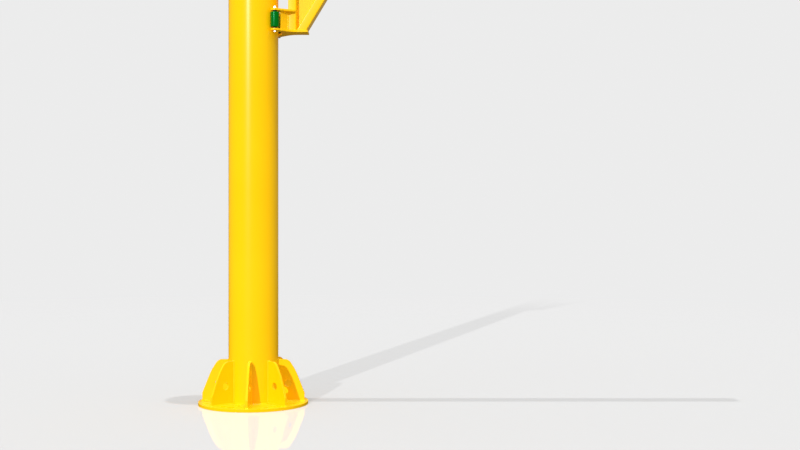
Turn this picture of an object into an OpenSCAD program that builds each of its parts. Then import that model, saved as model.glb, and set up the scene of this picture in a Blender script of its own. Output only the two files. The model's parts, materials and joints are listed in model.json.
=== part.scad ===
// Pillar-mounted slewing jib crane: a round column on a gusseted foot, and a jib that turns about a
// spindle on the column's head and leans on the column with two rollers lower down.
// Sizes are in millimetres. The origin is on the floor at the column's axis, +Z is up and the boom
// points along +X.

/* [Column] */
// Outer diameter of the column tube
column_d = 426; // [377:1:480]
// Wall of the column tube
column_wall = 10; // [6:0.5:20]
// Height of the top of the column tube above the floor
column_top = 4400; // [4100:10:5200]

/* [Foot] */
// Width of the flange beyond the column tube
flange_margin = 257; // [245:1:330]
// Thickness of the flange
flange_t = 25; // [16:1:40]
// Gussets round the foot, and as many anchor holes between them
gusset_count = 8; // [6:1:10]
// Thickness of a gusset
gusset_t = 20; // [12:1:30]
// Height of a gusset above the flange
gusset_h = 358; // [320:1:460]
// Reach of a gusset from the column tube to its nose
gusset_reach = 227; // [205:1:240]
// Height of the upright nose of a gusset
gusset_nose_h = 70; // [30:1:120]
// Distance from the column tube to the upper corner of a gusset
gusset_top_w = 89; // [60:1:110]
// Distance from the column tube to the shoulder corner of a gusset
gusset_shoulder_w = 150; // [135:1:180]
// Drop from the top of a gusset to its shoulder corner
gusset_shoulder_drop = 94; // [70:1:130]
// Radius of the upper corner of a gusset
gusset_top_r = 60; // [20:1:70]
// Radius of the shoulder of a gusset
gusset_shoulder_r = 400; // [100:10:450]
// Radius of the corner over a gusset's nose
gusset_nose_r = 12; // [2:1:30]
// Diameter of the round hole in a gusset
gusset_hole_d = 60; // [30:1:80]
// Distance of that hole from the column tube
gusset_hole_w = 87; // [60:1:110]
// Height of that hole above the flange
gusset_hole_z = 154; // [110:1:190]
// Diameter of the anchor holes
anchor_hole_d = 33; // [22:1:39]
// Distance of the anchor holes from the flange's rim
anchor_edge = 70; // [50:1:90]

/* [Slewing head] */
// Width of the column's head plate beyond the tube
head_plate_margin = 22; // [15:1:40]
// Thickness of the column's head plate
head_plate_t = 25; // [16:1:40]
// Diameter of the spindle's thrust shoulder
spindle_shoulder_d = 220; // [180:1:240]
// Height of the spindle's thrust shoulder
spindle_shoulder_h = 25; // [15:1:50]
// Diameter of the spindle's journal
spindle_d = 120; // [90:1:140]
// Diameter of the spindle's threaded end
spindle_end_d = 80; // [50:1:85]
// Length of the spindle's threaded end
spindle_end_h = 34; // [30:1:38]
// Diameter of the ring nut on the spindle's end
spindle_nut_d = 130; // [125:1:140]
// Height of the ring nut
spindle_nut_h = 24; // [15:1:28]
// Outer diameter of the bearing housing
housing_d = 220; // [200:1:240]
// Diameter of the housing's flange
housing_flange_d = 270; // [260:1:300]
// Thickness of the housing's flange
housing_flange_t = 20; // [12:1:30]
// Diameter of the round plates of the jib's head
head_disc_d = 520; // [480:1:560]
// Thickness of those plates
head_disc_t = 16; // [10:1:25]
// Diameter of the opening over the spindle's end
head_opening_d = 160; // [150:1:180]
// Ribs between the head's plates, on the side away from the boom
head_rib_count = 5; // [3:1:7]
// Thickness of a head rib
head_rib_t = 12; // [8:1:16]
// Inset of a head rib from the rim of the plates
head_rib_inset = 12; // [5:1:25]
// Diameter of the housing's cover
cover_d = 210; // [200:1:240]
// Height of the cover
cover_h = 46; // [42:1:70]
// Wall of the cover
cover_wall = 6; // [4:0.5:8]
// Width of the cover's rim, which is bolted down
cover_rim_w = 24; // [22:1:35]
// Thickness of the cover's rim
cover_rim_t = 8; // [6:0.5:12]

/* [Boom] */
// Distance from the column's axis to the end of the boom's beam
boom_reach = 4720; // [3000:10:6000]
// Height of the beam
beam_h = 350; // [300:1:450]
// Width of the beam's flanges
beam_w = 175; // [160:1:200]
// Thickness of the beam's web
beam_web_t = 8; // [6:0.5:12]
// Thickness of the beam's flanges
beam_flange_t = 12; // [9:0.5:18]
// Thickness of the plate on the beam's tip
end_plate_t = 12; // [8:1:20]
// Distance from the beam's tip to the outer trolley stops
stop_setback = 70; // [40:1:300]
// Distance from the strut's head to the inner trolley stops
stop_clearance = 90; // [40:1:300]
// Gap between the beam's web and a trolley stop, for the weld along the web
stop_gap = 16.5; // [10:0.5:20]
// Thickness of a trolley stop
stop_t = 12; // [8:1:20]
// Width of a trolley stop
stop_w = 58; // [45:1:62]
// Height of a trolley stop
stop_h = 90; // [70:1:120]
// Diameter of a rubber buffer
buffer_d = 40; // [30:1:44]
// Length of a rubber buffer
buffer_l = 30; // [20:1:50]

/* [Jib frame] */
// Width of the post and of the strut, across the boom
frame_w = 140; // [120:1:150]
// Depth of the post, along the boom
post_depth = 70; // [60:1:100]
// Clear distance between the column tube and the post
post_gap = 92; // [85:1:130]
// Depth of the strut, square to its length
strut_depth = 75; // [60:1:100]
// Slope of the strut from the horizontal
strut_angle = 59; // [54:0.5:66]
// Wall of the post and the strut
frame_wall = 6; // [4:0.5:10]
// Corner radius of the post and the strut
frame_corner_r = 10; // [7:0.5:14]
// Thickness of the web plate between the post and the strut
web_t = 10; // [6:1:16]
// Height of the web plate
web_h = 620; // [300:10:900]
// Radius of the hollow in the web plate's upper edge
web_hollow_r = 260; // [120:10:420]

/* [Roller bracket] */
// Height of the lower plate's underside above the floor
bracket_z = 3190; // [2600:10:3400]
// Thickness of the bracket's plates
bracket_t = 16; // [10:1:20]
// Diameter of a roller
roller_d = 76; // [70:1:90]
// Length of a roller
roller_l = 128; // [100:1:180]
// Angle of each roller from the boom's direction, about the column
roller_angle = 37; // [34:0.5:40]
// Height of the collars above and below a roller
collar_h = 12.2; // [8:0.1:20]
// Outer diameter of the collars
collar_d = 34; // [28:1:44]
// Diameter of a roller's pin
pin_d = 20; // [16:1:24]
// Width of the pin's hexagon head across its flats
pin_head_w = 30; // [28:1:38]
// Height of the pin's head
pin_head_h = 12.5; // [8:0.5:16]
// Length of the pin above the upper plate
pin_end = 22; // [10:1:30]
// Radius of the ears round the pins
ear_r = 36; // [30:1:40]
// Margin of the lower plate beyond the post and the strut
lower_margin = 6; // [3:1:15]
// Direction of the lower plate's arms from the boom's direction
lower_arm_angle = 45; // [40:1:50]
// Radius of the hollow where the lower plate's arms meet its tail
lower_hollow_r = 150; // [60:5:170]
// Margin of the lower plate beyond the strut's foot
lower_tail = 11; // [5:1:40]
// Half width of the upper plate at the post
upper_half_w = 104; // [95:1:125]
// Inset of the upper plate's ends from the post's far side
upper_inset = 9; // [4:1:20]
// Direction of the upper plate's arms from the boom's direction
upper_arm_angle = 23.5; // [15:0.5:30]
// Corner radius of the upper plate's ends
upper_corner_r = 14; // [4:1:20]
// Thickness of the flared side plates
side_plate_t = 10; // [8:1:12]
// Length of the flared side plates
side_plate_l = 82; // [60:1:90]
// Direction of the side plates from the boom's direction
side_plate_angle = 46; // [42:1:52]
// Radius of the throat between the bracket's ears
throat_r = 158; // [140:1:170]

/* [Clearances] */
// Gap at welded joints on curved faces
weld_gap = 0.3; // [0.2:0.05:0.5]
// Radial clearance of the running fits
running_gap = 0.06; // [0.02:0.01:0.09]
// Gap of the thrust faces, and between the rollers and the column
face_gap = 0.3; // [0.2:0.05:0.5]
// Gap between the bracket's plates and the column
sweep_gap = 8; // [6:1:15]
// Gap between the throat of the bracket's plates and the column
throat_gap = 35; // [20:1:45]

/* [Hidden] */
$fn = 96;
ARC_STEP = 5;
PAINT = [1.0, 0.82, 0.06];
ROLLER_GREEN = [0.0, 0.42, 0.08];
COLLAR_BLACK = [0.05, 0.05, 0.12];
STEEL = [0.72, 0.73, 0.75];
RUBBER = [0.08, 0.08, 0.09];

// Column and foot
column_r = column_d / 2;
flange_r = column_r + flange_margin;
gusset_pitch = 360 / gusset_count;

// Slewing head, from the column's top up
head_z = column_top + head_plate_t;
thrust_z = head_z + spindle_shoulder_h;
housing_z = thrust_z + face_gap;
lower_disc_z = housing_z + housing_flange_t;
beam_z = lower_disc_z + head_disc_t;
beam_top = beam_z + beam_h;
nut_z = beam_top + face_gap;
upper_disc_top = beam_top + head_disc_t;
housing_r = housing_d / 2;
rib_reach = head_disc_d / 2 - head_rib_inset;
rib_pitch = 180 / (head_rib_count - 1);

// Bracket, from its lower plate up
lower_top = bracket_z + bracket_t;
roller_z = lower_top + collar_h + face_gap;
roller_top = roller_z + roller_l;
upper_z = roller_top + face_gap + collar_h;
upper_top = upper_z + bracket_t;
roller_r = roller_d / 2;
roller_reach = column_r + roller_r + face_gap;
pin_x = roller_reach * cos(roller_angle);
pin_y = roller_reach * sin(roller_angle);

// Jib frame
post_x = column_r + post_gap;
post_end = post_x + post_depth;
strut_cot = 1 / tan(strut_angle);
strut_foot_in = post_end + face_gap;
strut_foot_out = strut_foot_in + strut_depth / sin(strut_angle);
strut_rise = beam_z - lower_top;
strut_head_out = strut_foot_out + strut_rise * strut_cot;
lower_half_w = frame_w / 2 + lower_margin;
lower_end = strut_foot_out + lower_tail;

// Trolley stops
stop_y = beam_web_t / 2 + stop_gap;
stop_z = beam_z + beam_flange_t;
outer_stop_x = boom_reach - stop_setback - stop_t;
inner_stop_x = strut_head_out + stop_clearance;

function unit(v) = v / norm(v);
function before(points, i) = points[(i + len(points) - 1) % len(points)];
function after(points, i) = points[(i + 1) % len(points)];
function turns_left(points, i) =
    cross(points[i] - before(points, i), after(points, i) - points[i]) > 0;

// The sliver between a corner and the arc of radius r that touches both of its edges
module corner_sliver(corner, from, to, r) {
    a = unit(from - corner);
    b = unit(to - corner);
    half = acos(a * b) / 2;
    centre = corner + unit(a + b) * r / sin(half);
    difference() {
        polygon([corner, corner + a * r / tan(half), centre, corner + b * r / tan(half)]);
        translate(centre) circle(r);
    }
}

// Points along the arc of radius r that rounds a corner
function arc_points(corner, from, to, r) =
    let (a = unit(from - corner), b = unit(to - corner), half = acos(a * b) / 2,
         centre = corner + unit(a + b) * r / sin(half),
         start = corner + a * r / tan(half) - centre,
         sweep = (180 - 2 * half) * sign(cross(corner - from, to - corner)),
         steps = max(3, ceil(abs(sweep) / ARC_STEP)))
    [for (k = [0:steps])
        let (turn = sweep * k / steps)
            centre + [start[0] * cos(turn) - start[1] * sin(turn),
                      start[0] * sin(turn) + start[1] * cos(turn)]];

// The corners of an outline, anticlockwise, each rounded in short steps; 0 leaves a corner sharp
function rounded_points(points, radii) =
    [for (i = [0:len(points) - 1])
        each radii[i] > 0 ? arc_points(points[i], before(points, i), after(points, i), radii[i])
                          : [points[i]]];

// An outline, anticlockwise, whose right-angled corners have the given radii; 0 leaves one sharp
module rounded_outline(points, radii) {
    difference() {
        union() {
            polygon(points);
            for (i = [0:len(points) - 1])
                if (radii[i] > 0 && !turns_left(points, i))
                    corner_sliver(points[i], before(points, i), after(points, i), radii[i]);
        }
        for (i = [0:len(points) - 1])
            if (radii[i] > 0 && turns_left(points, i))
                corner_sliver(points[i], before(points, i), after(points, i), radii[i]);
    }
}

module rounded_rectangle(x0, x1, half_y, r) {
    rounded_outline([[x0, -half_y], [x1, -half_y], [x1, half_y], [x0, half_y]], [r, r, r, r]);
}

// A plate in the XZ plane, centred on Y, from an outline drawn in X and Z
module upright_plate(t) {
    translate([0, t / 2, 0]) rotate([90, 0, 0]) linear_extrude(t) children();
}

// A rectangular hollow section, from x0 to x1 and across the boom
module hollow_section(x0, x1) {
    difference() {
        rounded_rectangle(x0, x1, frame_w / 2, frame_corner_r);
        rounded_rectangle(x0 + frame_wall, x1 - frame_wall, frame_w / 2 - frame_wall,
                          frame_corner_r - frame_wall);
    }
}

module base_flange() {
    color(PAINT) difference() {
        cylinder(h = flange_t, r = flange_r);
        for (i = [1:gusset_count])
            rotate((i - 0.5) * gusset_pitch) translate([flange_r - anchor_edge, 0, -1])
                cylinder(h = flange_t + 2, d = anchor_hole_d);
    }
}

module base_gusset(i) {
    top = flange_t + gusset_h;
    nose = column_r + gusset_reach;
    color(PAINT) rotate((i - 1) * gusset_pitch) difference() {
        upright_plate(gusset_t)
            polygon(rounded_points(
                [[column_r, flange_t], [nose, flange_t], [nose, flange_t + gusset_nose_h],
                 [column_r + gusset_shoulder_w, top - gusset_shoulder_drop],
                 [column_r + gusset_top_w, top], [column_r, top]],
                [0, 0, gusset_nose_r, gusset_shoulder_r, gusset_top_r, 0]));
        translate([column_r + gusset_hole_w, gusset_t, flange_t + gusset_hole_z])
            rotate([90, 0, 0]) cylinder(h = 2 * gusset_t, d = gusset_hole_d);
    }
}

module column_tube() {
    color(PAINT) translate([0, 0, flange_t]) difference() {
        cylinder(h = column_top - flange_t, r = column_r);
        translate([0, 0, -1]) cylinder(h = column_top - flange_t + 2, r = column_r - column_wall);
    }
}

module column_head_plate() {
    color(PAINT) translate([0, 0, column_top])
        cylinder(h = head_plate_t, r = column_r + head_plate_margin);
}

module pivot_spindle() {
    shoulder_r = spindle_shoulder_d / 2;
    journal_r = spindle_d / 2;
    end_r = spindle_end_d / 2;
    color(STEEL) rotate_extrude()
        rounded_outline(
            [[0, head_z], [shoulder_r, head_z], [shoulder_r, thrust_z], [journal_r, thrust_z],
             [journal_r, nut_z], [end_r, nut_z], [end_r, nut_z + spindle_end_h],
             [0, nut_z + spindle_end_h]],
            [0, 0, 3, 0, 0, 0, 4, 0]);
}

module spindle_nut() {
    color(STEEL) translate([0, 0, nut_z]) difference() {
        cylinder(h = spindle_nut_h, d = spindle_nut_d);
        translate([0, 0, -1])
            cylinder(h = spindle_nut_h + 2, r = spindle_end_d / 2 + weld_gap);
    }
}

module bearing_housing() {
    bore_r = spindle_d / 2 + running_gap;
    flange_r = housing_flange_d / 2;
    color(PAINT) rotate_extrude()
        rounded_outline(
            [[bore_r, housing_z], [flange_r, housing_z], [flange_r, lower_disc_z],
             [housing_r, lower_disc_z], [housing_r, beam_top], [bore_r, beam_top]],
            [0, 3, 3, 0, 0, 0]);
}

module head_lower_plate() {
    color(PAINT) translate([0, 0, lower_disc_z]) difference() {
        cylinder(h = head_disc_t, d = head_disc_d);
        translate([0, 0, -1]) cylinder(h = head_disc_t + 2, r = housing_r + weld_gap);
    }
}

module head_upper_plate() {
    color(PAINT) translate([0, 0, beam_top]) difference() {
        cylinder(h = head_disc_t, d = head_disc_d);
        translate([0, 0, -1]) cylinder(h = head_disc_t + 2, d = head_opening_d);
    }
}

module head_rib(i) {
    color(PAINT) rotate(90 + (i - 1) * rib_pitch)
        translate([housing_r + weld_gap, -head_rib_t / 2, beam_z])
            cube([rib_reach - housing_r - weld_gap, head_rib_t, beam_h]);
}

module housing_cover() {
    cover_r = cover_d / 2;
    rim_r = cover_r + cover_rim_w;
    rim_top = upper_disc_top + cover_rim_t;
    roof = upper_disc_top + cover_h;
    color(PAINT) rotate_extrude()
        rounded_outline(
            [[cover_r - cover_wall, upper_disc_top], [rim_r, upper_disc_top], [rim_r, rim_top],
             [cover_r, rim_top], [cover_r, roof], [0, roof], [0, roof - cover_wall],
             [cover_r - cover_wall, roof - cover_wall]],
            [0, 0, 1.5, 2, 14, 0, 0, 8]);
}

// The boom's beam is welded from a web and two flanges, which are cut round the housing
module boom_web() {
    root = housing_r + weld_gap;
    color(PAINT) translate([root, -beam_web_t / 2, beam_z + beam_flange_t])
        cube([boom_reach - root, beam_web_t, beam_h - 2 * beam_flange_t]);
}

module boom_flange(z) {
    color(PAINT) translate([0, 0, z]) linear_extrude(beam_flange_t) difference() {
        translate([0, -beam_w / 2]) square([boom_reach, beam_w]);
        circle(housing_r + weld_gap);
    }
}

module boom_end_plate() {
    color(PAINT) translate([boom_reach, -beam_w / 2, beam_z]) cube([end_plate_t, beam_w, beam_h]);
}

// One stop on each side of the beam's web, standing on the lower flange
module trolley_stops(x) {
    color(PAINT) for (side = [0, 1]) mirror([0, side, 0])
        translate([x, 0, stop_z]) rotate([90, 0, 90]) linear_extrude(stop_t)
            rounded_outline(
                [[stop_y, 0], [stop_y + stop_w, 0], [stop_y + stop_w, stop_h], [stop_y, stop_h]],
                [0, 0, 12, 12]);
}

module stop_buffers(x) {
    color(RUBBER) for (side = [-1, 1])
        translate([x, side * (stop_y + stop_w / 2), stop_z + stop_h / 2])
            rotate([0, 90, 0]) cylinder(h = buffer_l, d = buffer_d);
}

module jib_post() {
    color(PAINT) translate([0, 0, lower_top])
        linear_extrude(beam_z - lower_top) hollow_section(post_x, post_end);
}

module jib_strut() {
    reach = strut_rise / sin(strut_angle) + 2 * strut_depth;
    color(PAINT) intersection() {
        translate([strut_foot_out, 0, lower_top]) rotate([0, 90 - strut_angle, 0])
            translate([0, 0, -strut_depth]) linear_extrude(reach + strut_depth)
                hollow_section(-strut_depth, 0);
        translate([0, -frame_w, lower_top]) cube([boom_reach, 2 * frame_w, strut_rise]);
    }
}

// The web fills the corner between the post and the strut, up to a hollowed edge
module haunch_web() {
    top_x = strut_foot_in + web_h * strut_cot;
    hollow_z = web_h + sqrt(pow(web_hollow_r, 2) - pow((top_x - post_end) / 2, 2));
    color(PAINT) translate([0, 0, lower_top]) upright_plate(web_t) difference() {
        polygon([[post_end, 0], [strut_foot_in, 0], [top_x, web_h], [post_end, web_h]]);
        translate([(post_end + top_x) / 2, hollow_z]) circle(web_hollow_r);
    }
}

// Both bracket plates: arms with ears round the pins, and a throat round the column
module bracket_outline(arm_angle, half_w, end_x, hollow_r, corner_r) {
    outward = [sin(arm_angle), cos(arm_angle)];
    pin = [pin_x, pin_y];
    rim = pin + ear_r * outward;
    inner = pin - ear_r * outward;
    neck_x = rim[0] + (rim[1] - half_w) / tan(arm_angle);
    difference() {
        union() {
            polygon(rounded_points(
                concat([[end_x, -half_w], [end_x, half_w]],
                       hollow_r > 0 ? [[neck_x, half_w]] : [],
                       [rim, inner, [inner[0], -inner[1]], [rim[0], -rim[1]]],
                       hollow_r > 0 ? [[neck_x, -half_w]] : []),
                concat([corner_r, corner_r], hollow_r > 0 ? [hollow_r] : [], [0, 0, 0, 0],
                       hollow_r > 0 ? [hollow_r] : [])));
            for (side = [-1, 1]) translate([pin_x, side * pin_y]) circle(ear_r);
        }
        circle(column_r + sweep_gap);
        translate([column_r + throat_gap - throat_r, 0]) circle(throat_r);
        for (side = [-1, 1])
            translate([pin_x, side * pin_y]) circle(pin_d / 2 + weld_gap);
    }
}

module bracket_lower_plate() {
    color(PAINT) translate([0, 0, bracket_z]) linear_extrude(bracket_t)
        bracket_outline(lower_arm_angle, lower_half_w, lower_end, lower_hollow_r, 4);
}

module bracket_upper_plate() {
    color(PAINT) translate([0, 0, upper_z]) linear_extrude(bracket_t) difference() {
        bracket_outline(upper_arm_angle, upper_half_w, post_end - upper_inset, 0, upper_corner_r);
        translate([post_x, -frame_w / 2]) square([post_depth + 1, frame_w]);
    }
}

// A plate that flares from the post's corner towards the column, between the bracket's plates
module bracket_side_plate(side) {
    color(PAINT) translate([0, 0, lower_top]) linear_extrude(upper_z - lower_top)
        mirror([0, side < 0 ? 1 : 0]) difference() {
            translate([post_x, frame_w / 2]) rotate(180 - side_plate_angle)
                translate([-frame_corner_r, 0])
                    square([side_plate_l + frame_corner_r, side_plate_t]);
            rounded_rectangle(post_x - weld_gap, post_end, frame_w / 2 + weld_gap,
                              frame_corner_r);
        }
}

module roller_pin(side) {
    color(STEEL) translate([pin_x, side * pin_y, bracket_z]) {
        cylinder(h = upper_top - bracket_z + pin_end, d = pin_d);
        translate([0, 0, -pin_head_h])
            cylinder(h = pin_head_h, d = pin_head_w / cos(30), $fn = 6);
    }
}

module pin_collars(side) {
    color(COLLAR_BLACK)
        for (z = [lower_top, upper_z - collar_h])
            translate([pin_x, side * pin_y, z]) difference() {
                cylinder(h = collar_h, d = collar_d);
                translate([0, 0, -1]) cylinder(h = collar_h + 2, r = pin_d / 2 + weld_gap);
            }
}

module roller(side) {
    bore_r = pin_d / 2 + running_gap;
    color(ROLLER_GREEN) translate([pin_x, side * pin_y, roller_z]) rotate_extrude()
        rounded_outline(
            [[bore_r, 0], [roller_r, 0], [roller_r, roller_l], [bore_r, roller_l]],
            [1, 6, 6, 1]);
}

base_flange();
for (i = [1:gusset_count])
    base_gusset(i);
column_tube();
column_head_plate();
pivot_spindle();
spindle_nut();
bearing_housing();
head_lower_plate();
head_upper_plate();
for (i = [1:head_rib_count])
    head_rib(i);
housing_cover();
boom_web();
boom_flange(beam_z);  // boom_lower_flange
boom_flange(beam_top - beam_flange_t);  // boom_upper_flange
boom_end_plate();
trolley_stops(inner_stop_x);  // trolley_stops_inner
trolley_stops(outer_stop_x);  // trolley_stops_outer
stop_buffers(inner_stop_x + stop_t);  // stop_buffers_inner
stop_buffers(outer_stop_x - buffer_l);  // stop_buffers_outer
jib_post();
jib_strut();
haunch_web();
bracket_lower_plate();
bracket_upper_plate();
bracket_side_plate(-1);  // bracket_side_plate_front
bracket_side_plate(1);  // bracket_side_plate_back
roller_pin(-1);  // roller_pin_front
roller_pin(1);  // roller_pin_back
pin_collars(-1);  // pin_collars_front
pin_collars(1);  // pin_collars_back
roller(-1);  // roller_front
roller(1);  // roller_back
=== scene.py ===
"""Looks of a pillar-mounted slewing jib crane: enamel, weld beads, fasteners, studio and camera.

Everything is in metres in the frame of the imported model, and every place is worked out from it.
The front is at -Y, where the camera stands, and the boom points along +X.
"""

import json
import math

import bpy
import numpy as np
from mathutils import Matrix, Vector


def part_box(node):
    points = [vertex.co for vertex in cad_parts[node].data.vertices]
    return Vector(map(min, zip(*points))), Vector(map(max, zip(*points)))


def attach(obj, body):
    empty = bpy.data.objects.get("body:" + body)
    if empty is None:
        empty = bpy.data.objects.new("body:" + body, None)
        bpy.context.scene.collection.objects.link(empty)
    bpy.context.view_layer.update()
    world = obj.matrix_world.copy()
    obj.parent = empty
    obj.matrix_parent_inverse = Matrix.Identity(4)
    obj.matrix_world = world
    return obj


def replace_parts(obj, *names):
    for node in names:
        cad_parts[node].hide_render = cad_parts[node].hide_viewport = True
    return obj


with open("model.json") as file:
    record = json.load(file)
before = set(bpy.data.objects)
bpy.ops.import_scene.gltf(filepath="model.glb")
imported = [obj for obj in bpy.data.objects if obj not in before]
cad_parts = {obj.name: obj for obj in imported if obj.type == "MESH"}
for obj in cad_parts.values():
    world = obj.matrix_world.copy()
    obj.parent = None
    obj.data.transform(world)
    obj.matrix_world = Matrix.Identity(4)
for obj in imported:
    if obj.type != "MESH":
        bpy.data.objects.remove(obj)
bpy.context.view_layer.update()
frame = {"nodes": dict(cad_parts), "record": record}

MM = 0.001
X = np.array((1.0, 0.0, 0.0))
Y = np.array((0.0, 1.0, 0.0))
Z = np.array((0.0, 0.0, 1.0))

# The photograph's camera: a 50 mm lens, level, 9.6 m in front of the column and a little to its right
CAMERA_PLACE = (1.263, -9.579, 1.539)
CAMERA_LENS = 50.0
CAMERA_SENSOR = 36.0
CAMERA_REACH = 1000.0

# The lamp from the left front and the weak lamp overhead, with every angle in degrees
KEY_AZIMUTH = 17.7
KEY_ELEVATION = 16.0
KEY_STRENGTH = 2.44
KEY_SPREAD = 0.6
TOP_AZIMUTH = -68.8
TOP_ELEVATION = 83.15
TOP_STRENGTH = 1.02
TOP_SPREAD = 0.6

# Fill lamps all round: strength, degrees left of the front and degrees up
FILLS = {"front": (0.5, 0, 25), "left": (0.4, 90, 25), "right": (0.4, -90, 25), "back": (0.4, 180, 25),
         "above": (0.5, 0, 90)}

# The room's tone as it is seen, as it lights from above and from below, and as gloss mirrors it
ROOM_SEEN = 0.84
ROOM_CEILING = 1.32
ROOM_BELOW = 0.46
ROOM_MIRRORED = 0.18
ROOM_MIRRORED_BELOW = 0.009

# The heights of a unit direction between which the room's lower half gives way to the upper one
ROOM_HORIZON = (-0.05, 0.05)
MIRROR_HORIZON = (-0.12, 0.0)

# The floor: its tone and faint mirror, where it fades into the room and ends, and its drop under the foot
FLOOR_TONE = 0.667
FLOOR_MIRROR = 0.35
FLOOR_ROUGHNESS = 0.03
FLOOR_FADES = (9.0, 15.0)
FLOOR_REACH = 400.0
FLOOR_DROP = 0.2 * MM

# Finishes, as linear colours
SIGNAL_YELLOW = (0.94, 0.535, 0.002)
DEEP_YELLOW = (0.93, 0.515, 0.001)
DUST = (0.62, 0.52, 0.36)
ROLLER_GREEN = (0.0, 0.135, 0.006)
ROLLER_WORN = (0.001, 0.11, 0.008)
ROLLER_GLINT = (0.2, 1.0, 0.6)
BLACKENED = (0.003, 0.005, 0.022)
BLACKENED_WORN = (0.008, 0.009, 0.026)
ZINC = (0.86, 0.87, 0.89)
ZINC_DULL = (0.70, 0.71, 0.72)
TURNED_STEEL = (0.62, 0.61, 0.60)
OIL_STAIN = (0.30, 0.24, 0.18)
RUBBER = (0.018, 0.018, 0.020)
RUBBER_BLOOM = (0.05, 0.05, 0.052)
WHITE = (1.0, 1.0, 1.0)

# Plates and most turned pieces have their edges broken. The nodes named here keep their solids' edges
EDGE_BREAK = 1.3 * MM
EDGE_ANGLE = math.radians(35)
AS_CUT = ("haunch_web", "housing_cover", "bearing_housing", "pivot_spindle", "trolley_stops_inner",
          "trolley_stops_outer")

# Points that lie closer than this are one point, in a new shape and in a CAD mesh with split edges
SAME_PLACE = 0.001 * MM
SPLIT_PLACE = 0.1 * MM

# Sides of a turned shape and of a hexagon with its corners taken off
ROUND_SIDES = 48
HEXAGON_SIDES = 72

# Weld beads: the legs of the corners that they fill
FOOT_LEG = 8 * MM
FRAME_LEG = 6 * MM
STOP_LEG = 4 * MM

# A bead's crown, its ripples' height and its size at an end, as shares of the leg
BEAD_CROWN = 0.14
BEAD_RIPPLE = 0.05
BEAD_END = 0.45
BEAD_SECTIONS = 4
FEWEST_STEPS = 3

# Ripples: their pitch, the steps to each, and the share of it that their middle runs ahead of their toes
RIPPLE_PITCH = 5 * MM
RIPPLE_STEPS = 4
RIPPLE_BOW = 0.45

# The boom's long seams are smooth, as a machine lays them, and stand as high as this part of a ripple
SEAM_STEP = 12 * MM
SEAM_HEIGHT = 0.3

# Steps of a bead round the crane's axis, in degrees, and round a tube's corner
RING_STEP = 3.0
CORNER_STEPS = 6

# Corner radius of the post and the strut, and how far from the post's corners the bracket's beads turn
TUBE_CORNER = 10 * MM
BRACKET_TURN = 8 * MM

# Degrees by which round beads run into the beads that they meet, and stay clear of the boom's root
FOOT_LAP = 2.0
HEAD_LAP = 1.0
ROOT_GAP = 2.0

# How much sooner the beads on a side plate's inner face end, where the post's corner falls away
INNER_BEAD_SHORT = 12 * MM
INNER_SEAM_SHORT = 9 * MM

# A washer is its radius, its bore's radius and its thickness, and its rims are bevelled
WASHER_BEVEL = 0.4 * MM

# Nuts and bolt heads: the face that the cone leaves, as a share of the flats, and the cone's slope
HEXAGON_FACE = 0.95
HEXAGON_CONE = math.radians(30)

# Threads: rows to a turn, depth as a share of the pitch, flanks, flat crests, and the end's chamfer
THREAD_ROWS = 6
THREAD_DEPTH = 0.55
THREAD_FLANK = 1.2
THREAD_FLAT = 0.1
THREAD_CHAMFER = 0.9

# The rollers' bolts, whose flats are the CAD pin's own
PIN_RADIUS = 10 * MM
PIN_PITCH = 2.5 * MM
PIN_THREAD_BELOW = 4 * MM
PIN_WASHER = (18.5 * MM, 10.5 * MM, 3 * MM)
PIN_NUT = 16 * MM
PIN_NUT_BORE = 9.7 * MM

# The cover's bolts, at degrees round the crane's axis, and what tells its rim and its wall
COVER_BOLT_ANGLES = range(30, 390, 60)
COVER_WASHER = (10 * MM, 5.3 * MM, 2 * MM)
COVER_FLATS = 16 * MM
COVER_HEAD = 6.4 * MM
COVER_RIM = 3 * MM
COVER_STEP = 5 * MM

# The stops' buffers: a collar, a slimmer body with a round shoulder, and a dish in the face
BUFFER_COLLAR = 4 * MM
BUFFER_COLLAR_BEVEL = 0.6 * MM
BUFFER_SLIMMER = 1 * MM
BUFFER_SHOULDER = 5 * MM
BUFFER_SHOULDER_STEPS = 6
BUFFER_STRAIGHT = 1 * MM
BUFFER_DISH_RIM = 7 * MM
BUFFER_DISH_FLOOR = 6 * MM
BUFFER_DISH_DEPTH = 2.5 * MM

# The studs behind them
STUD_RADIUS = 4 * MM
STUD_PITCH = 1.25 * MM
STUD_THREAD = (1 * MM, 12 * MM)
STUD_WASHER = (8 * MM, 4.2 * MM, 1.6 * MM)
STUD_FLATS = 13 * MM
STUD_NUT = 6.8 * MM
STUD_NUT_BORE = 3.8 * MM


class Signal:
    """One output of a shader node. Arithmetic on signals adds the Math nodes that work it out."""

    def __init__(self, graph, socket):
        self.graph = graph
        self.socket = socket

    def maths(self, operation, *terms):
        return self.graph.node("ShaderNodeMath", {"operation": operation}, dict(enumerate(terms or [self])))

    def __add__(self, other):
        return self.maths("ADD", self, other)

    __radd__ = __add__

    def __sub__(self, other):
        return self.maths("SUBTRACT", self, other)

    def __rsub__(self, other):
        return self.maths("SUBTRACT", other, self)

    def __mul__(self, other):
        return self.maths("MULTIPLY", self, other)

    __rmul__ = __mul__

    def rise(self, low, high, at_low=0.0, at_high=1.0):
        """at_low below low, at_high above high and a smooth change between them."""
        return self.graph.node("ShaderNodeMapRange", {"interpolation_type": "SMOOTHSTEP"},
                               {"Value": self, "From Min": low, "From Max": high,
                                "To Min": at_low, "To Max": at_high})


def opaque(colour):
    """A colour as a socket takes it, with its alpha. One that is already a signal stays as it is."""
    return colour if isinstance(colour, Signal) else (*colour, 1.0)


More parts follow.
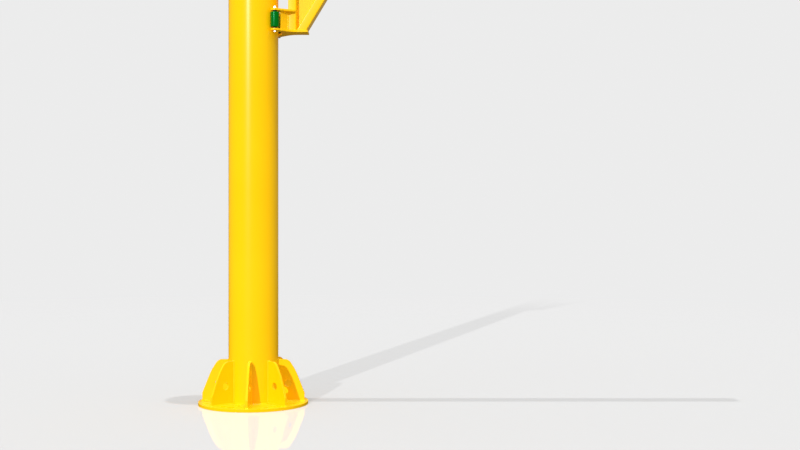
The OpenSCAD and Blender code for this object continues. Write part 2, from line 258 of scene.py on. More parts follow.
class Graph:
    """A node tree that is being filled, from which each new node comes as a signal."""

    def __init__(self, owner):
        owner.use_nodes = True
        self.owner = owner
        self.tree = owner.node_tree
        self.tree.nodes.clear()

    def node(self, kind, settings=None, values=None, output=0):
        made = self.tree.nodes.new(kind)
        for name, value in (settings or {}).items():
            setattr(made, name, value)
        for name, value in (values or {}).items():
            if isinstance(value, Signal):
                self.tree.links.new(value.socket, made.inputs[name])
            else:
                made.inputs[name].default_value = value
        return Signal(self, made.outputs[output])

    def along(self, vector, axis):
        return self.node("ShaderNodeSeparateXYZ", {}, {0: vector}, output=axis)

    def length(self, vector):
        return self.node("ShaderNodeVectorMath", {"operation": "LENGTH"}, {0: vector}, output="Value")

    def mix(self, factor, first, second):
        """The number first where the factor is 0, and second where it is 1."""
        return self.node("ShaderNodeMix", {}, {0: factor, 2: first, 3: second})

    def end(self, kind, surface):
        """Ends the tree in its output node, and gives back the material or world that owns it."""
        last = self.tree.nodes.new(kind)
        self.tree.links.new(surface.socket, last.inputs["Surface"])
        return self.owner


class Finish(Graph):
    """A material that is being mixed. Its textures are laid out in the crane's own metres."""

    def __init__(self, name):
        super().__init__(bpy.data.materials.new(name))

    def place(self):
        return self.node("ShaderNodeTexCoord", output="Object")

    def stretched(self, across, up):
        """The place, with its level measures times across and its height times up."""
        return self.node("ShaderNodeVectorMath", {"operation": "MULTIPLY"},
                         {0: self.place(), 1: (across, across, up)})

    def grain(self, scale, detail=2.0, vector=None):
        """Noise from 0 to 1, with scale in grains per metre."""
        return self.node("ShaderNodeTexNoise", {},
                         {"Vector": vector or self.place(), "Scale": scale, "Detail": detail})

    def tool_marks(self, travel, feed):
        """The waves from -1 to 1 that a lathe leaves, one for each feed of the tool along its travel."""
        return (travel * (2 * math.pi / feed)).maths("SINE")

    def blend(self, mask, first, second):
        """The colour first where the mask is 0, and second where it is 1."""
        return self.node("ShaderNodeMix", {"data_type": "RGBA"},
                         {0: mask, 6: opaque(first), 7: opaque(second)}, output=2)

    def upward(self):
        """1 on faces that look up, where dust settles."""
        return self.along(self.node("ShaderNodeNewGeometry", output="Normal"), "Z").rise(0.6, 0.95)

    def relief(self, height, depth):
        """A bumped normal from a height of 0 to 1 that stands for that depth in metres."""
        return self.node("ShaderNodeBump", {}, {"Strength": 1.0, "Distance": depth, "Height": height})

    def surface(self, **values):
        """Ends the material in one Principled shader whose sockets are named with underscores."""
        sockets = {name.replace("_", " "): value for name, value in values.items()}
        sockets["Base Color"] = opaque(sockets["Base Color"])
        return self.end("ShaderNodeOutputMaterial", self.node("ShaderNodeBsdfPrincipled", {}, sockets))


def yellow_enamel():
    """Sprayed signal yellow under a clear gloss, with orange peel and a trace of dust on top."""
    finish = Finish("yellow_enamel")
    drift = finish.grain(1.3)
    haze = finish.grain(9, 3)
    peel = finish.grain(260, 1.5)
    dusty = finish.upward() * finish.grain(14, 3).rise(0.3, 0.8)
    enamel = finish.blend(drift.rise(0.3, 0.7), SIGNAL_YELLOW, DEEP_YELLOW)
    return finish.surface(
        Base_Color=finish.blend(dusty * 0.04, enamel, DUST),
        Roughness=0.24 + 0.04 * haze + 0.1 * dusty,
        Specular_IOR_Level=0.17,
        Coat_Weight=0.18 - 0.08 * dusty,
        Coat_Roughness=0.05,
        Normal=finish.relief(peel, depth=0.025 * MM))


def green_polymer(low, high):
    """A turned polymer tyre, with fine tool marks and a duller band where it runs on the column."""
    finish = Finish("green_polymer")
    height = finish.along(finish.place(), "Z")
    half = (high[2] - low[2]) / 2
    from_middle = (height - (low[2] + high[2]) / 2).maths("ABSOLUTE")
    run = 1 - from_middle.rise(half * 0.72, half * 0.86)
    scuffs = finish.grain(120, 3, finish.stretched(1.0, 6.0))
    turned = finish.tool_marks(height, feed=0.9 * MM)
    return finish.surface(
        Base_Color=finish.blend(run * scuffs.rise(0.35, 0.65) * 0.5, ROLLER_GREEN, ROLLER_WORN),
        Roughness=0.20 + 0.08 * run * scuffs,
        Specular_IOR_Level=0.2,
        Specular_Tint=opaque(ROLLER_GLINT),
        Normal=finish.relief(turned * 0.5 + scuffs * 0.5, depth=0.02 * MM))


def blackened_steel():
    """Turned and blackened collars: near black with a blue cast, oily in places."""
    finish = Finish("blackened_steel")
    cloud = finish.grain(90, 3)
    turned = finish.tool_marks(finish.along(finish.place(), "Z"), feed=0.7 * MM)
    return finish.surface(
        Base_Color=finish.blend(cloud.rise(0.3, 0.7), BLACKENED, BLACKENED_WORN),
        Metallic=0.3,
        Roughness=0.34 + 0.14 * cloud,
        Specular_IOR_Level=0.3,
        Normal=finish.relief(turned, depth=0.015 * MM))


def bright_zinc():
    """Bright zinc plating with a faint cloudiness and fine scratches."""
    finish = Finish("bright_zinc")
    cloud = finish.grain(140, 3)
    scratches = finish.grain(900, 2, finish.stretched(0.15, 1.0))
    return finish.surface(
        Base_Color=finish.blend(cloud.rise(0.35, 0.7) * 0.7, ZINC, ZINC_DULL),
        Metallic=1.0,
        Roughness=0.22 + 0.14 * cloud,
        Normal=finish.relief(scratches, depth=0.01 * MM))


def turned_steel():
    """Lathe-turned steel round the crane's axis, with tool marks and a film of grease."""
    finish = Finish("turned_steel")
    radius = finish.length(finish.stretched(1.0, 0.0))
    turned = finish.tool_marks(radius + finish.along(finish.place(), "Z"), feed=0.8 * MM)
    grease = finish.grain(22, 4).rise(0.5, 0.75)
    return finish.surface(
        Base_Color=finish.blend(grease * 0.45, TURNED_STEEL, OIL_STAIN),
        Metallic=1.0,
        Roughness=0.28 + 0.16 * grease,
        Normal=finish.relief(turned, depth=0.012 * MM))


def buffer_rubber():
    """Moulded rubber, dull, with a fine bloom."""
    finish = Finish("buffer_rubber")
    bloom = finish.grain(160, 4)
    pores = finish.grain(700, 2)
    return finish.surface(
        Base_Color=finish.blend(bloom.rise(0.4, 0.75) * 0.6, RUBBER, RUBBER_BLOOM),
        Roughness=0.62 + 0.2 * bloom,
        Specular_IOR_Level=0.3,
        Normal=finish.relief(pores, depth=0.03 * MM))


def studio_floor():
    """A smooth pale floor that mirrors the foot faintly and runs out into the room's own tone."""
    finish = Finish("studio_floor")
    matt = finish.node("ShaderNodeBsdfDiffuse", {}, {"Color": opaque((FLOOR_TONE, FLOOR_TONE, FLOOR_TONE))})
    polish = finish.node("ShaderNodeBsdfGlossy", {}, {"Color": opaque(WHITE), "Roughness": FLOOR_ROUGHNESS})
    near = finish.node("ShaderNodeMixShader", {}, {0: FLOOR_MIRROR, 1: matt, 2: polish})
    far = finish.node("ShaderNodeEmission", {}, {"Color": opaque(WHITE), "Strength": ROOM_SEEN})
    fade = finish.length(finish.place()).rise(*FLOOR_FADES)
    floor = finish.node("ShaderNodeMixShader", {}, {0: fade, 1: near, 2: far})
    return finish.end("ShaderNodeOutputMaterial", floor)


def unit(vector):
    return vector / np.linalg.norm(vector, axis=-1, keepdims=True)


def outward(angle):
    """The level direction at this many degrees from +X towards +Y."""
    return math.cos(math.radians(angle)) * X + math.sin(math.radians(angle)) * Y


def circle(centre, radius, height, count):
    """Points round an upright axis. The radius and the height may each be one number or one to a point."""
    angles = np.arange(count) * 2 * math.pi / count
    return np.stack([centre[0] + radius * np.cos(angles), centre[1] + radius * np.sin(angles),
                     np.broadcast_to(height, count)], axis=1)


class Piece:
    """The vertices and faces of one new mesh, gathered shape by shape."""

    def __init__(self):
        self.points = []
        self.faces = []
        self.lie = np.eye(3)
        self.origin = np.zeros(3)

    def set_down(self, origin, axis):
        """Shapes that follow are drawn about the Z axis and laid at origin along this axis."""
        across = unit(np.cross(axis, Z if abs(axis[2]) < 0.9 else X))
        self.lie = np.stack([across, np.cross(axis, across), axis])
        self.origin = np.array(origin, float)

    def turn(self, profile, centre, count=ROUND_SIDES, loop=False):
        """Turns a profile, as pairs of radius and height, about an upright axis."""
        self.skin([circle(centre, radius, height, count) for radius, height in profile], loop)

    def skin(self, rings, loop=False):
        """Joins rings with the same count of points by quads, and closes both ends or makes a loop."""
        rings = np.asarray(rings, float) @ self.lie + self.origin
        count, size = rings.shape[:2]
        rows = count if loop else count - 1
        row, column = np.meshgrid(np.arange(rows), np.arange(size), indexing="ij")
        next_row = (row + 1) % count
        next_column = (column + 1) % size
        corners = [row * size + column, row * size + next_column,
                   next_row * size + next_column, next_row * size + column]
        faces = np.stack(corners, axis=-1).reshape(-1, 4).tolist()
        if not loop:
            faces.append(list(range(size))[::-1])
            faces.append(list(range((count - 1) * size, count * size)))
        self.add(rings.reshape(-1, 3), faces)

    def add(self, points, faces):
        """Adds a closed shape. Points that coincide become one, and a face that shrinks to a line goes."""
        first = sum(len(points) for points in self.points)
        cells = np.round(points / SAME_PLACE)
        _, kept, place = np.unique(cells, axis=0, return_index=True, return_inverse=True)
        place = place.ravel()
        self.points.append(points[kept])
        for face in faces:
            corners = [first + int(place[corner]) for corner in face]
            corners = [corner for i, corner in enumerate(corners) if corner != corners[i - 1]]
            if len(corners) > 2:
                self.faces.append(corners)

    def make(self, name, body, slot, finish):
        """Makes the piece's object in this finish, which rides on a body. The slot argument is not used."""
        mesh = bpy.data.meshes.new(name)
        mesh.from_pydata(np.concatenate(self.points).tolist(), [], self.faces)
        mesh.polygons.foreach_set("use_smooth", [True] * len(mesh.polygons))
        mesh.set_sharp_from_angle(angle=EDGE_ANGLE)
        mesh.materials.append(finish)
        made = bpy.data.objects.new(name, mesh)
        bpy.context.scene.collection.objects.link(made)
        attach(made, body)
        return made


class Beads(Piece):
    """Fillet welds. A station is a point in the corner and the two directions away from it."""

    def lay(self, stations, leg=FRAME_LEG, ripples=True, closed=False):
        """One bead along the stations. A closed one ends at its first station and has no ends."""
        points, first, second = (np.array(column, float) for column in zip(*stations))
        toes = points + leg * first
        travel = np.concatenate([[0.0], np.cumsum(np.linalg.norm(np.diff(toes, axis=0), axis=1))])
        length = travel[-1]
        pitch = length / max(1, round(length / RIPPLE_PITCH))
        step = pitch / RIPPLE_STEPS if ripples else SEAM_STEP
        at = np.linspace(0, length, max(FEWEST_STEPS, round(length / step)) + 1)
        points, first, second = (
            np.stack([np.interp(at, travel, column[:, axis]) for axis in range(3)], axis=1)
            for column in (points, first, second))
        first, second = unit(first), unit(second)
        from_end = leg if closed else np.minimum(at, length - at)
        size = leg * (BEAD_END + (1 - BEAD_END) * np.sqrt(np.clip(from_end / leg, 0, 1)))
        rings = [points]
        for section in range(BEAD_SECTIONS + 1):
            share = section / BEAD_SECTIONS
            ahead = RIPPLE_BOW * (1 - (2 * share - 1) ** 2)
            wave = ((at / pitch - ahead) % 1.0) ** 2 if ripples else SEAM_HEIGHT
            crown = (BEAD_CROWN + BEAD_RIPPLE * (wave - 0.5)) * math.sin(math.pi * share)
            reach = (1 - share + crown) * first.T + (share + crown) * second.T
            rings.append(points + (size * reach).T)
        rings = np.stack(rings, axis=1)
        if closed:
            rings = rings[:-1]
        run = np.gradient(points + leg * first, axis=0)
        inside_out = np.sum(np.cross(first, second) * run, axis=1).mean() < 0
        self.skin(rings[:, ::-1] if inside_out else rings, loop=closed)

    def run(self, start, end, first, second, ripples=True):
        """A straight bead in the corner between two faces."""
        self.lay([(start, first, second), (end, first, second)], ripples=ripples)


def ring(radius, height, up, start=0.0, stop=360.0):
    """Stations round the outside of a turned part, from start to stop in degrees.

    up is +1 where the part stands on a plate at this height, and -1 where it hangs under one.
    """
    steps = max(2, math.ceil((stop - start) / RING_STEP))
    stations = []
    for angle in np.linspace(start, stop, steps + 1):
        out = outward(angle)
        stations.append((radius * out + height * Z, out, up * Z))
    return stations


def along_edges(corners, sides, other):
    """Stations from corner to corner. Each edge has a side of its own, and all share the other."""
    return [(corner, side, other)
            for start, end, side in zip(corners, corners[1:], sides)
            for corner in (start, end)]


def round_tube(low, high, half, height, on_wall, open_side=False):
    """Stations round a rectangular tube that stands on a plate. open_side leaves out its +X side."""
    left, right = low + TUBE_CORNER, high - TUBE_CORNER
    front, back = TUBE_CORNER - half, half - TUBE_CORNER
    corners = [(right, front, -90), (right, back, 0), (left, back, 90), (left, front, 180)]
    stations = []
    for x, y, start in corners[2:] if open_side else corners:
        for angle in np.linspace(start, start + 90, CORNER_STEPS + 1):
            out = outward(angle)
            stations.append(((x, y, height) + TUBE_CORNER * out, out, on_wall))
    if open_side:
        return [((high, half, height), Y, on_wall), *stations, ((high, -half, height), -Y, on_wall)]
    return stations + stations[:1]


def round_end(start, end, half, corner, height, on_wall):
    """Stations along a tube's front from x = start, round its end at x = end, and back along its rear."""
    ahead = math.copysign(1, end - start)
    bend = end - ahead * corner
    return [((start, -half, height), -Y, on_wall), ((bend, -half, height), -Y, on_wall),
            ((end, corner - half, height), ahead * X, on_wall),
            ((end, half - corner, height), ahead * X, on_wall),
            ((bend, half, height), Y, on_wall), ((start, half, height), Y, on_wall)]


def turned_about(angle, stations):
    """The same stations, turned about the crane's axis by this many degrees."""
    c, s = math.cos(math.radians(angle)), math.sin(math.radians(angle))
    turn = np.array(((c, -s, 0), (s, c, 0), (0, 0, 1)))
    return [tuple(turn @ part for part in station) for station in stations]


def box_of(name):
    low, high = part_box(name)
    return np.array(low), np.array(high)


def points_of(name):
    return np.array([vertex.co for vertex in frame["nodes"][name].data.vertices])


def count_of(start):
    """How many CAD nodes have a name that starts like this."""
    return sum(name.startswith(start) for name in frame["nodes"])


def foot_welds(enamel):
    """Beads round every gusset, up the column and over the flange, and round the column's foot."""
    beads = Beads()
    column = box_of("column_tube")[1][0]
    deck = box_of("base_flange")[1][2]
    nose, half, top = box_of("base_gusset_1")[1]
    touch = math.sqrt(column ** 2 - half ** 2)
    upright = [(touch, -half, deck), (touch, -half, top), (touch, half, top), (touch, half, deck)]
    level = [(column, -half, deck), (nose, -half, deck), (nose, half, deck), (column, half, deck)]
    up_column = along_edges(upright, (-Y, Z, Y), X)
    over_flange = along_edges(level, (-Y, X, Y), Z)
    beside = math.degrees(math.asin((half + FOOT_LEG) / column)) - FOOT_LAP
    apart = 360 / count_of("base_gusset_")
    for angle in np.arange(0, 360, apart):
        beads.lay(turned_about(angle, up_column), FOOT_LEG)
        beads.lay(turned_about(angle, over_flange), FOOT_LEG)
        beads.lay(ring(column, deck, 1, angle + beside, angle + apart - beside), FOOT_LEG)
    beads.make("foot_welds", "pillar", "yellow_paint", enamel)


def column_head_welds(enamel):
    """The bead that closes the column under its head plate, and the one round the spindle's shoulder."""
    beads = Beads()
    plate_low, plate_high = box_of("column_head_plate")
    column = box_of("column_tube")[1][0]
    shoulder = box_of("pivot_spindle")[1][0]
    beads.lay(ring(column, plate_low[2], -1), FOOT_LEG, closed=True)
    beads.lay(ring(shoulder, plate_high[2], 1), closed=True)
    beads.make("column_head_welds", "pillar", "yellow_paint", enamel)


def head_welds(enamel):
    """Beads of the slewing head: housing, round plates, ribs and the boom's root."""
    beads = Beads()
    plate_low, plate_high = box_of("head_lower_plate")
    rim, deck = plate_high[0], plate_high[2]
    ceiling = box_of("head_upper_plate")[0][2]
    web_low, web_high = box_of("boom_web")
    housing = web_low[0]
    flange_half = box_of("boom_lower_flange")[1][1]
    beads.lay(ring(box_of("bearing_housing")[1][0], plate_low[2], -1), closed=True)

    # The third rib, whose box gives the ribs' size, points away from the boom
    rib_low, rib_high = box_of("head_rib_3")
    rib_end, rib_half = -rib_low[0], rib_high[1]
    ribs = np.linspace(90, 270, count_of("head_rib_"))
    for angle in ribs:
        for side in (-1, 1):
            y = side * rib_half
            upright = along_edges([(housing, y, deck), (housing, y, ceiling)], [side * Y], X)
            beads.lay(turned_about(angle, upright))
        for height, on_rib in ((deck, Z), (ceiling, -Z)):
            corners = [(housing, -rib_half, height), (rib_end, -rib_half, height),
                       (rib_end, rib_half, height), (housing, rib_half, height)]
            beads.lay(turned_about(angle, along_edges(corners, (-Y, X, Y), on_rib)))

    # The housing's beads above and below, between the ribs and as far as the boom
    beside = math.degrees(math.asin((rib_half + FRAME_LEG) / housing)) - HEAD_LAP
    root = math.degrees(math.asin(flange_half / housing)) + ROOT_GAP + 2 * beside
    for start, stop in zip([root, *(ribs + beside)], [*(ribs - beside), 360 - root]):
        for height, up in ((deck, 1), (ceiling, -1)):
            beads.lay(ring(housing, height, up, start, stop))

    root_x = math.sqrt(housing ** 2 - flange_half ** 2)
    rim_x = math.sqrt(rim ** 2 - flange_half ** 2)
    for side in (-1, 1):
        y = side * flange_half
        for height, on_edge in ((deck, Z), (ceiling, -Z)):
            beads.run((root_x, y, height), (rim_x, y, height), side * Y, on_edge)
        y = side * web_high[1]
        beads.run((housing, y, web_low[2]), (housing, y, web_high[2]), side * Y, X)
    rim_angle = math.degrees(math.asin(flange_half / rim)) - HEAD_LAP
    for height, up in ((deck, -1), (ceiling, 1)):
        beads.lay(ring(rim, height, up, -rim_angle, rim_angle))
    beads.make("head_welds", "jib", "yellow_paint", enamel)


def boom_welds(enamel):
    """The long seams between the boom's web and flanges, and the beads of its end plate and stops."""
    beads = Beads()
    web_low, web_high = box_of("boom_web")
    root, tip = web_low[0], web_high[0]
    flange_half = box_of("boom_lower_flange")[1][1]
    for side in (-1, 1):
        y = side * web_high[1]
        for height, on_web in ((web_low[2], Z), (web_high[2], -Z)):
            beads.run((root, y, height), (tip, y, height), side * Y, on_web, ripples=False)
            beads.run((tip, y, height), (tip, side * flange_half, height), on_web, -X)
        beads.run((tip, y, web_low[2]), (tip, y, web_high[2]), side * Y, -X)
        for name in ("trolley_stops_inner", "trolley_stops_outer"):
            low, high = box_of(name)
            near = side * np.abs(points_of(name)[:, 1]).min()
            far = side * high[1]
            corners = [(low[0], near, low[2]), (low[0], far, low[2]),
                       (high[0], far, low[2]), (high[0], near, low[2])]
            beads.lay(along_edges(corners, (-X, side * Y, X), Z), STOP_LEG)
    beads.make("boom_welds", "jib", "yellow_paint", enamel)


def strut_lie():
    """The corners of the strut's foot and of its head, and the direction along it, from its mesh."""
    corners = points_of("jib_strut")
    foot = corners[corners[:, 2] < corners[:, 2].min() + MM]
    head = corners[corners[:, 2] > corners[:, 2].max() - MM]
    along = unit(np.array((head[:, 0].max() - foot[:, 0].max(), 0, head[0][2] - foot[0][2])))
    return foot, head, along


def frame_welds(enamel):
    """Beads of the post, the strut and the web plate between them."""
    beads = Beads()
    low, high = box_of("jib_post")
    beads.lay(round_tube(low[0], high[0], high[1], high[2], -Z), closed=True)
    beads.lay(round_tube(low[0], high[0], high[1], low[2], Z, open_side=True))
    foot, head, along = strut_lie()
    head_low, head_high = head.min(axis=0), head.max(axis=0)
    beads.lay(round_tube(head_low[0], head_high[0], head_high[1], head[0][2], -along), closed=True)
    beads.lay(round_end(high[0], foot[:, 0].max(), foot[:, 1].max(), TUBE_CORNER, low[2], along))
    web_low, web_high = box_of("haunch_web")
    off_strut = np.array((-along[2], 0, along[0]))
    strut_top = np.array((web_high[0], 0, web_high[2]))
    strut_foot = strut_top - along * (web_high[2] - web_low[2]) / along[2]
    for side in (-1, 1):
        y = side * web_high[1]
        beads.run((high[0], y, web_low[2]), (high[0], y, web_high[2]), side * Y, X)
        beads.run(strut_foot + y * Y, strut_top + y * Y, side * Y, off_strut)
    beads.make("frame_welds", "jib", "yellow_paint", enamel)


def bracket_welds(enamel):
    """Beads of the roller bracket: its plates to the post and to the flared side plates."""
    beads = Beads()
    post_low, post_high = box_of("jib_post")
    near, half = post_low[0], post_high[1]
    deck = box_of("bracket_lower_plate")[1][2]
    upper_low, upper_high = box_of("bracket_upper_plate")
    ceiling = upper_low[2]
    for height, on_post in ((ceiling, -Z), (upper_high[2], Z)):
        beads.lay(round_end(upper_high[0], near, half, BRACKET_TURN, height, on_post))
    for name in ("bracket_side_plate_front", "bracket_side_plate_back"):
        points = points_of(name) * (1, 1, 0)
        outer = points[np.abs(points[:, 1]).argmax()]
        inner = points[points[:, 0].argmin()]
        through = unit(inner - outer)
        along = unit(np.cross(Z, through))
        along = along * math.copysign(1, along[0])
        root = np.array((near, math.copysign(half, outer[1]), 0))
        length = np.dot(root - outer, along)
        corners = [outer + along * length, outer, inner, inner + along * (length - INNER_BEAD_SHORT)]
        for height, on_plate in ((deck, Z), (ceiling, -Z)):
            edges = [corner + height * Z for corner in corners]
            beads.lay(along_edges(edges, (-through, -along, through), on_plate))
        for at, off in ((corners[0], -through), (inner + along * (length - INNER_SEAM_SHORT), through)):
            beads.run(at + (deck + FRAME_LEG) * Z, at + (ceiling - FRAME_LEG) * Z, off, -along)
    beads.make("bracket_welds", "jib", "yellow_paint", enamel)


def hexagon(piece, centre, flats, low, high, bore=0.0, chamfer_low=True, chamfer_high=True):
    """A bolt head or nut on an upright axis, its corners taken off by a cone."""
    angles = np.arange(HEXAGON_SIDES) * 2 * math.pi / HEXAGON_SIDES
    edge = flats / 2 / np.cos(angles % (math.pi / 3) - math.pi / 6)
    face = HEXAGON_FACE * flats / 2
    fall = (edge - face) * math.tan(HEXAGON_CONE)
    inner = bore or face / 2
    profile = [(inner, low)]
    profile += [(face, low), (edge, low + fall)] if chamfer_low else [(edge, low)]
    profile += [(edge, high - fall), (face, high)] if chamfer_high else [(edge, high)]
    profile += [(inner, high)]
    piece.turn(profile, centre, HEXAGON_SIDES, loop=bore > 0)


def washer(piece, centre, size, low):
    """A washer whose lower face is at low. It gives back the height of its upper face."""
    outer, bore, thickness = size
    high = low + thickness
    face = outer - WASHER_BEVEL
    profile = [(bore, low), (face, low), (outer, low + WASHER_BEVEL),
               (outer, high - WASHER_BEVEL), (face, high), (bore, high)]
    piece.turn(profile, centre, loop=True)
    return high


def thread(piece, centre, radius, pitch, low, high):
    """A screw thread with a chamfered end, as one helical surface."""
    turns = np.arange(ROUND_SIDES) / ROUND_SIDES
    levels = math.ceil((high - low) / pitch * THREAD_ROWS) + THREAD_ROWS
    depth = THREAD_DEPTH * pitch
    profile = []
    for level in range(-THREAD_ROWS, levels):
        height = np.clip(low + pitch * (level / THREAD_ROWS + turns), low, high)
        groove = abs(((height - low) / pitch - turns) % 1.0 - 0.5) * 2
        size = radius - depth * np.clip(THREAD_FLANK * groove - THREAD_FLAT, 0, 1)
        size = np.minimum(size, radius - depth + (high - height) * THREAD_CHAMFER)
        profile.append((size, height))
    piece.turn(profile, centre)


def pivot_bolt(side, zinc):
    """A roller's pin as the bolt it is: chamfered head, plain shank, thread, washer and nut."""
    node = f"roller_pin_{side}"
    low, high = box_of(node)
    roller_low, roller_high = box_of(f"roller_{side}")
    centre = (roller_low + roller_high)[:2] / 2
    plate_low = box_of("bracket_lower_plate")[0][2]
    plate_top = box_of("bracket_upper_plate")[1][2]
    shank_top = plate_top - PIN_THREAD_BELOW
    flats = high[1] - low[1]
    bolt = Piece()
    hexagon(bolt, centre, flats, low[2], plate_low, chamfer_high=False)
    bolt.turn([(PIN_RADIUS, plate_low), (PIN_RADIUS, shank_top)], centre)
    thread(bolt, centre, PIN_RADIUS, PIN_PITCH, shank_top, high[2])
    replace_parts(bolt.make(f"pivot_bolt_{side}", "jib", "zinc_steel", zinc), node)
    nut = Piece()
    seat = washer(nut, centre, PIN_WASHER, plate_top)
    hexagon(nut, centre, flats, seat, seat + PIN_NUT, bore=PIN_NUT_BORE)
    nut.make(f"pivot_nut_{side}", "jib", "zinc_steel", zinc)


def cover_bolts(zinc):
    """Hexagon bolts with washers that hold the cover's rim down."""
    points = points_of("housing_cover")
    from_axis = np.hypot(points[:, 0], points[:, 1])
    rim = from_axis.max()
    rim_top = points[from_axis > rim - COVER_RIM, 2].max()
    wall = from_axis[points[:, 2] > rim_top + COVER_STEP].max()
    bolts = Piece()
    for angle in COVER_BOLT_ANGLES:
        centre = (wall + rim) / 2 * outward(angle)
        seat = washer(bolts, centre, COVER_WASHER, rim_top)
        hexagon(bolts, centre, COVER_FLATS, seat, seat + COVER_HEAD, chamfer_low=False)
    bolts.make("cover_bolts", "jib", "zinc_steel", zinc)


def stop_buffers(where, rubber, zinc):
    """Moulded buffers with a dished face, each on a stud whose nut is behind its stop."""
    node = f"stop_buffers_{where}"
    low, high = box_of(node)
    stop_low, stop_high = box_of(f"trolley_stops_{where}")
    ahead = math.copysign(1, low[0] - stop_low[0])
    face, back = (low[0], stop_low[0]) if ahead > 0 else (high[0], stop_high[0])
    collar = (high[2] - low[2]) / 2
    body = collar - BUFFER_SLIMMER
    length = high[0] - low[0]
    shoulder = length - BUFFER_SHOULDER
    profile = [(collar, 0), (collar, BUFFER_COLLAR), (body, BUFFER_COLLAR + BUFFER_COLLAR_BEVEL),
               (body, shoulder - BUFFER_STRAIGHT)]
    for angle in np.radians(np.linspace(0, 90, BUFFER_SHOULDER_STEPS + 1)):
        profile.append((body + BUFFER_SHOULDER * (math.cos(angle) - 1),
                        shoulder + BUFFER_SHOULDER * math.sin(angle)))
    profile += [(BUFFER_DISH_RIM, length), (BUFFER_DISH_FLOOR, length - BUFFER_DISH_DEPTH)]
    moulded, fixings = Piece(), Piece()
    for side in (-1, 1):
        y, z = side * (high[1] - collar), (low[2] + high[2]) / 2
        moulded.set_down((face, y, z), ahead * X)
        moulded.turn(profile, (0, 0))
        fixings.set_down((back, y, z), -ahead * X)
        seat = washer(fixings, (0, 0), STUD_WASHER, 0)
        hexagon(fixings, (0, 0), STUD_FLATS, seat, seat + STUD_NUT, bore=STUD_NUT_BORE)
        thread(fixings, (0, 0), STUD_RADIUS, STUD_PITCH, *STUD_THREAD)
    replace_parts(moulded.make(f"rubber_buffers_{where}", "jib", "buffer_rubber", rubber), node)
    fixings.make(f"buffer_nuts_{where}", "jib", "zinc_steel", zinc)


def dress_nodes(finishes):
    """Gives each CAD node its finish, and breaks the edges of those that aren't left as cut."""
    for row in frame["record"]["subparts"]:
        node = frame["nodes"][row["node"]]
        mesh = node.data
        mesh.materials.clear()
        mesh.materials.append(finishes[row["material_slot"]])
        if row["node"] in AS_CUT:
            continue
        for name in ("custom_normal", "sharp_edge", "sharp_face"):
            if name in mesh.attributes:
                mesh.attributes.remove(mesh.attributes[name])
        mesh.polygons.foreach_set("use_smooth", [True] * len(mesh.polygons))
        welded = node.modifiers.new("welded", "WELD")
        welded.merge_threshold = SPLIT_PLACE
        broken = node.modifiers.new("edge_break", "BEVEL")
        broken.width = EDGE_BREAK
        broken.segments = 2
        broken.limit_method = "ANGLE"
        broken.angle_limit = EDGE_ANGLE
        broken.use_clamp_overlap = False
        broken.harden_normals = True


def lay_floor():
    """A wide floor just under the foot, which neither lights the crane nor shows in its gloss."""
    floor = bpy.data.meshes.new("studio_floor")
    quarters = ((-1, -1), (1, -1), (1, 1), (-1, 1))
    corners = [(x * FLOOR_REACH, y * FLOOR_REACH, -FLOOR_DROP) for x, y in quarters]
    floor.from_pydata(corners, [], [(0, 1, 2, 3)])
    floor.materials.append(studio_floor())
    made = bpy.data.objects.new("studio_floor", floor)
    bpy.context.scene.collection.objects.link(made)
    made.visible_diffuse = False
    made.visible_glossy = False


def hang_sun(name, strength, spread, azimuth, elevation, fill=False):
    """A distant lamp from azimuth degrees left of the front and elevation degrees up.

    A fill throws no shadow and leaves no glint.
    """
    lamp = bpy.data.lights.new(name, "SUN")
    lamp.energy = strength
    lamp.angle = math.radians(spread)
    lamp.use_shadow = not fill
    made = bpy.data.objects.new(name, lamp)
    made.visible_glossy = not fill
    made.rotation_euler = (math.radians(90 - elevation), 0, -math.radians(azimuth))
    bpy.context.scene.collection.objects.link(made)


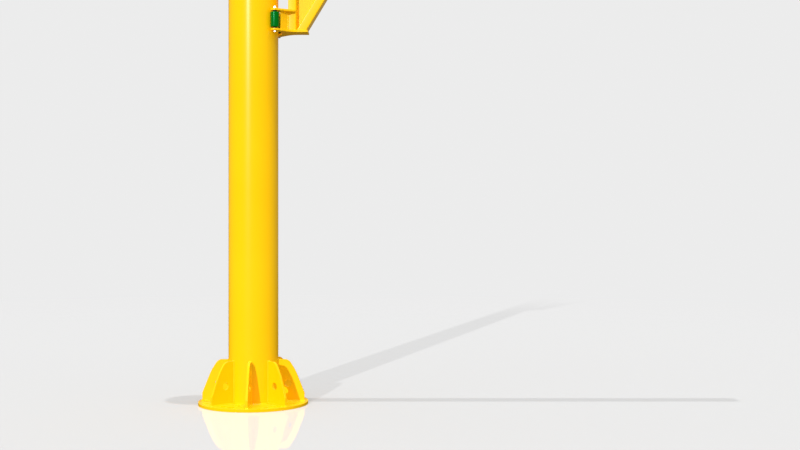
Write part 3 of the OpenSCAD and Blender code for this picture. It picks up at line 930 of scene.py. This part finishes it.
def light_room():
    """A pale room of one tone, which lights the crane softly from above and below and mirrors dimly."""
    room = Graph(bpy.data.worlds.new("studio_room"))
    height = room.along(room.node("ShaderNodeTexCoord", output="Generated"), "Z")
    above = ROOM_CEILING * height.maths("MAXIMUM", height, 0.0)
    lighting = above + height.rise(*ROOM_HORIZON, ROOM_BELOW, 0.0)
    mirrored = height.rise(*MIRROR_HORIZON, ROOM_MIRRORED_BELOW, ROOM_MIRRORED)
    glossy = room.node("ShaderNodeLightPath", output="Is Glossy Ray")
    diffuse = room.node("ShaderNodeLightPath", output="Is Diffuse Ray")
    strength = room.mix(diffuse, room.mix(glossy, ROOM_SEEN, mirrored), lighting)
    glow = room.node("ShaderNodeBackground", {}, {"Color": opaque(WHITE), "Strength": strength})
    world = room.end("ShaderNodeOutputWorld", glow)
    world.cycles.sampling_method = "NONE"
    bpy.context.scene.world = world


def place_camera():
    camera = bpy.data.cameras.new("photo_camera")
    camera.lens = CAMERA_LENS
    camera.sensor_width = CAMERA_SENSOR
    camera.clip_end = CAMERA_REACH
    made = bpy.data.objects.new("photo_camera", camera)
    made.location = CAMERA_PLACE
    made.rotation_euler = (math.radians(90), 0, 0)
    bpy.context.scene.collection.objects.link(made)
    bpy.context.scene.camera = made


place_camera()
light_room()
hang_sun("key_lamp", KEY_STRENGTH, KEY_SPREAD, KEY_AZIMUTH, KEY_ELEVATION)
hang_sun("top_lamp", TOP_STRENGTH, TOP_SPREAD, TOP_AZIMUTH, TOP_ELEVATION)
for side, (strength, azimuth, elevation) in FILLS.items():
    hang_sun(f"fill_lamp_{side}", strength, TOP_SPREAD, azimuth, elevation, fill=True)
lay_floor()
bpy.context.scene.view_settings.view_transform = "Standard"

enamel = yellow_enamel()
zinc = bright_zinc()
rubber = buffer_rubber()
dress_nodes({
    "yellow_paint": enamel,
    "roller_green": green_polymer(*box_of("roller_front")),
    "collar_black": blackened_steel(),
    "zinc_steel": zinc,
    "machined_steel": turned_steel(),
    "buffer_rubber": rubber,
})
for weld in (foot_welds, column_head_welds, head_welds, boom_welds, frame_welds, bracket_welds):
    weld(enamel)
for side in ("front", "back"):
    pivot_bolt(side, zinc)
cover_bolts(zinc)
for where in ("inner", "outer"):
    stop_buffers(where, rubber, zinc)
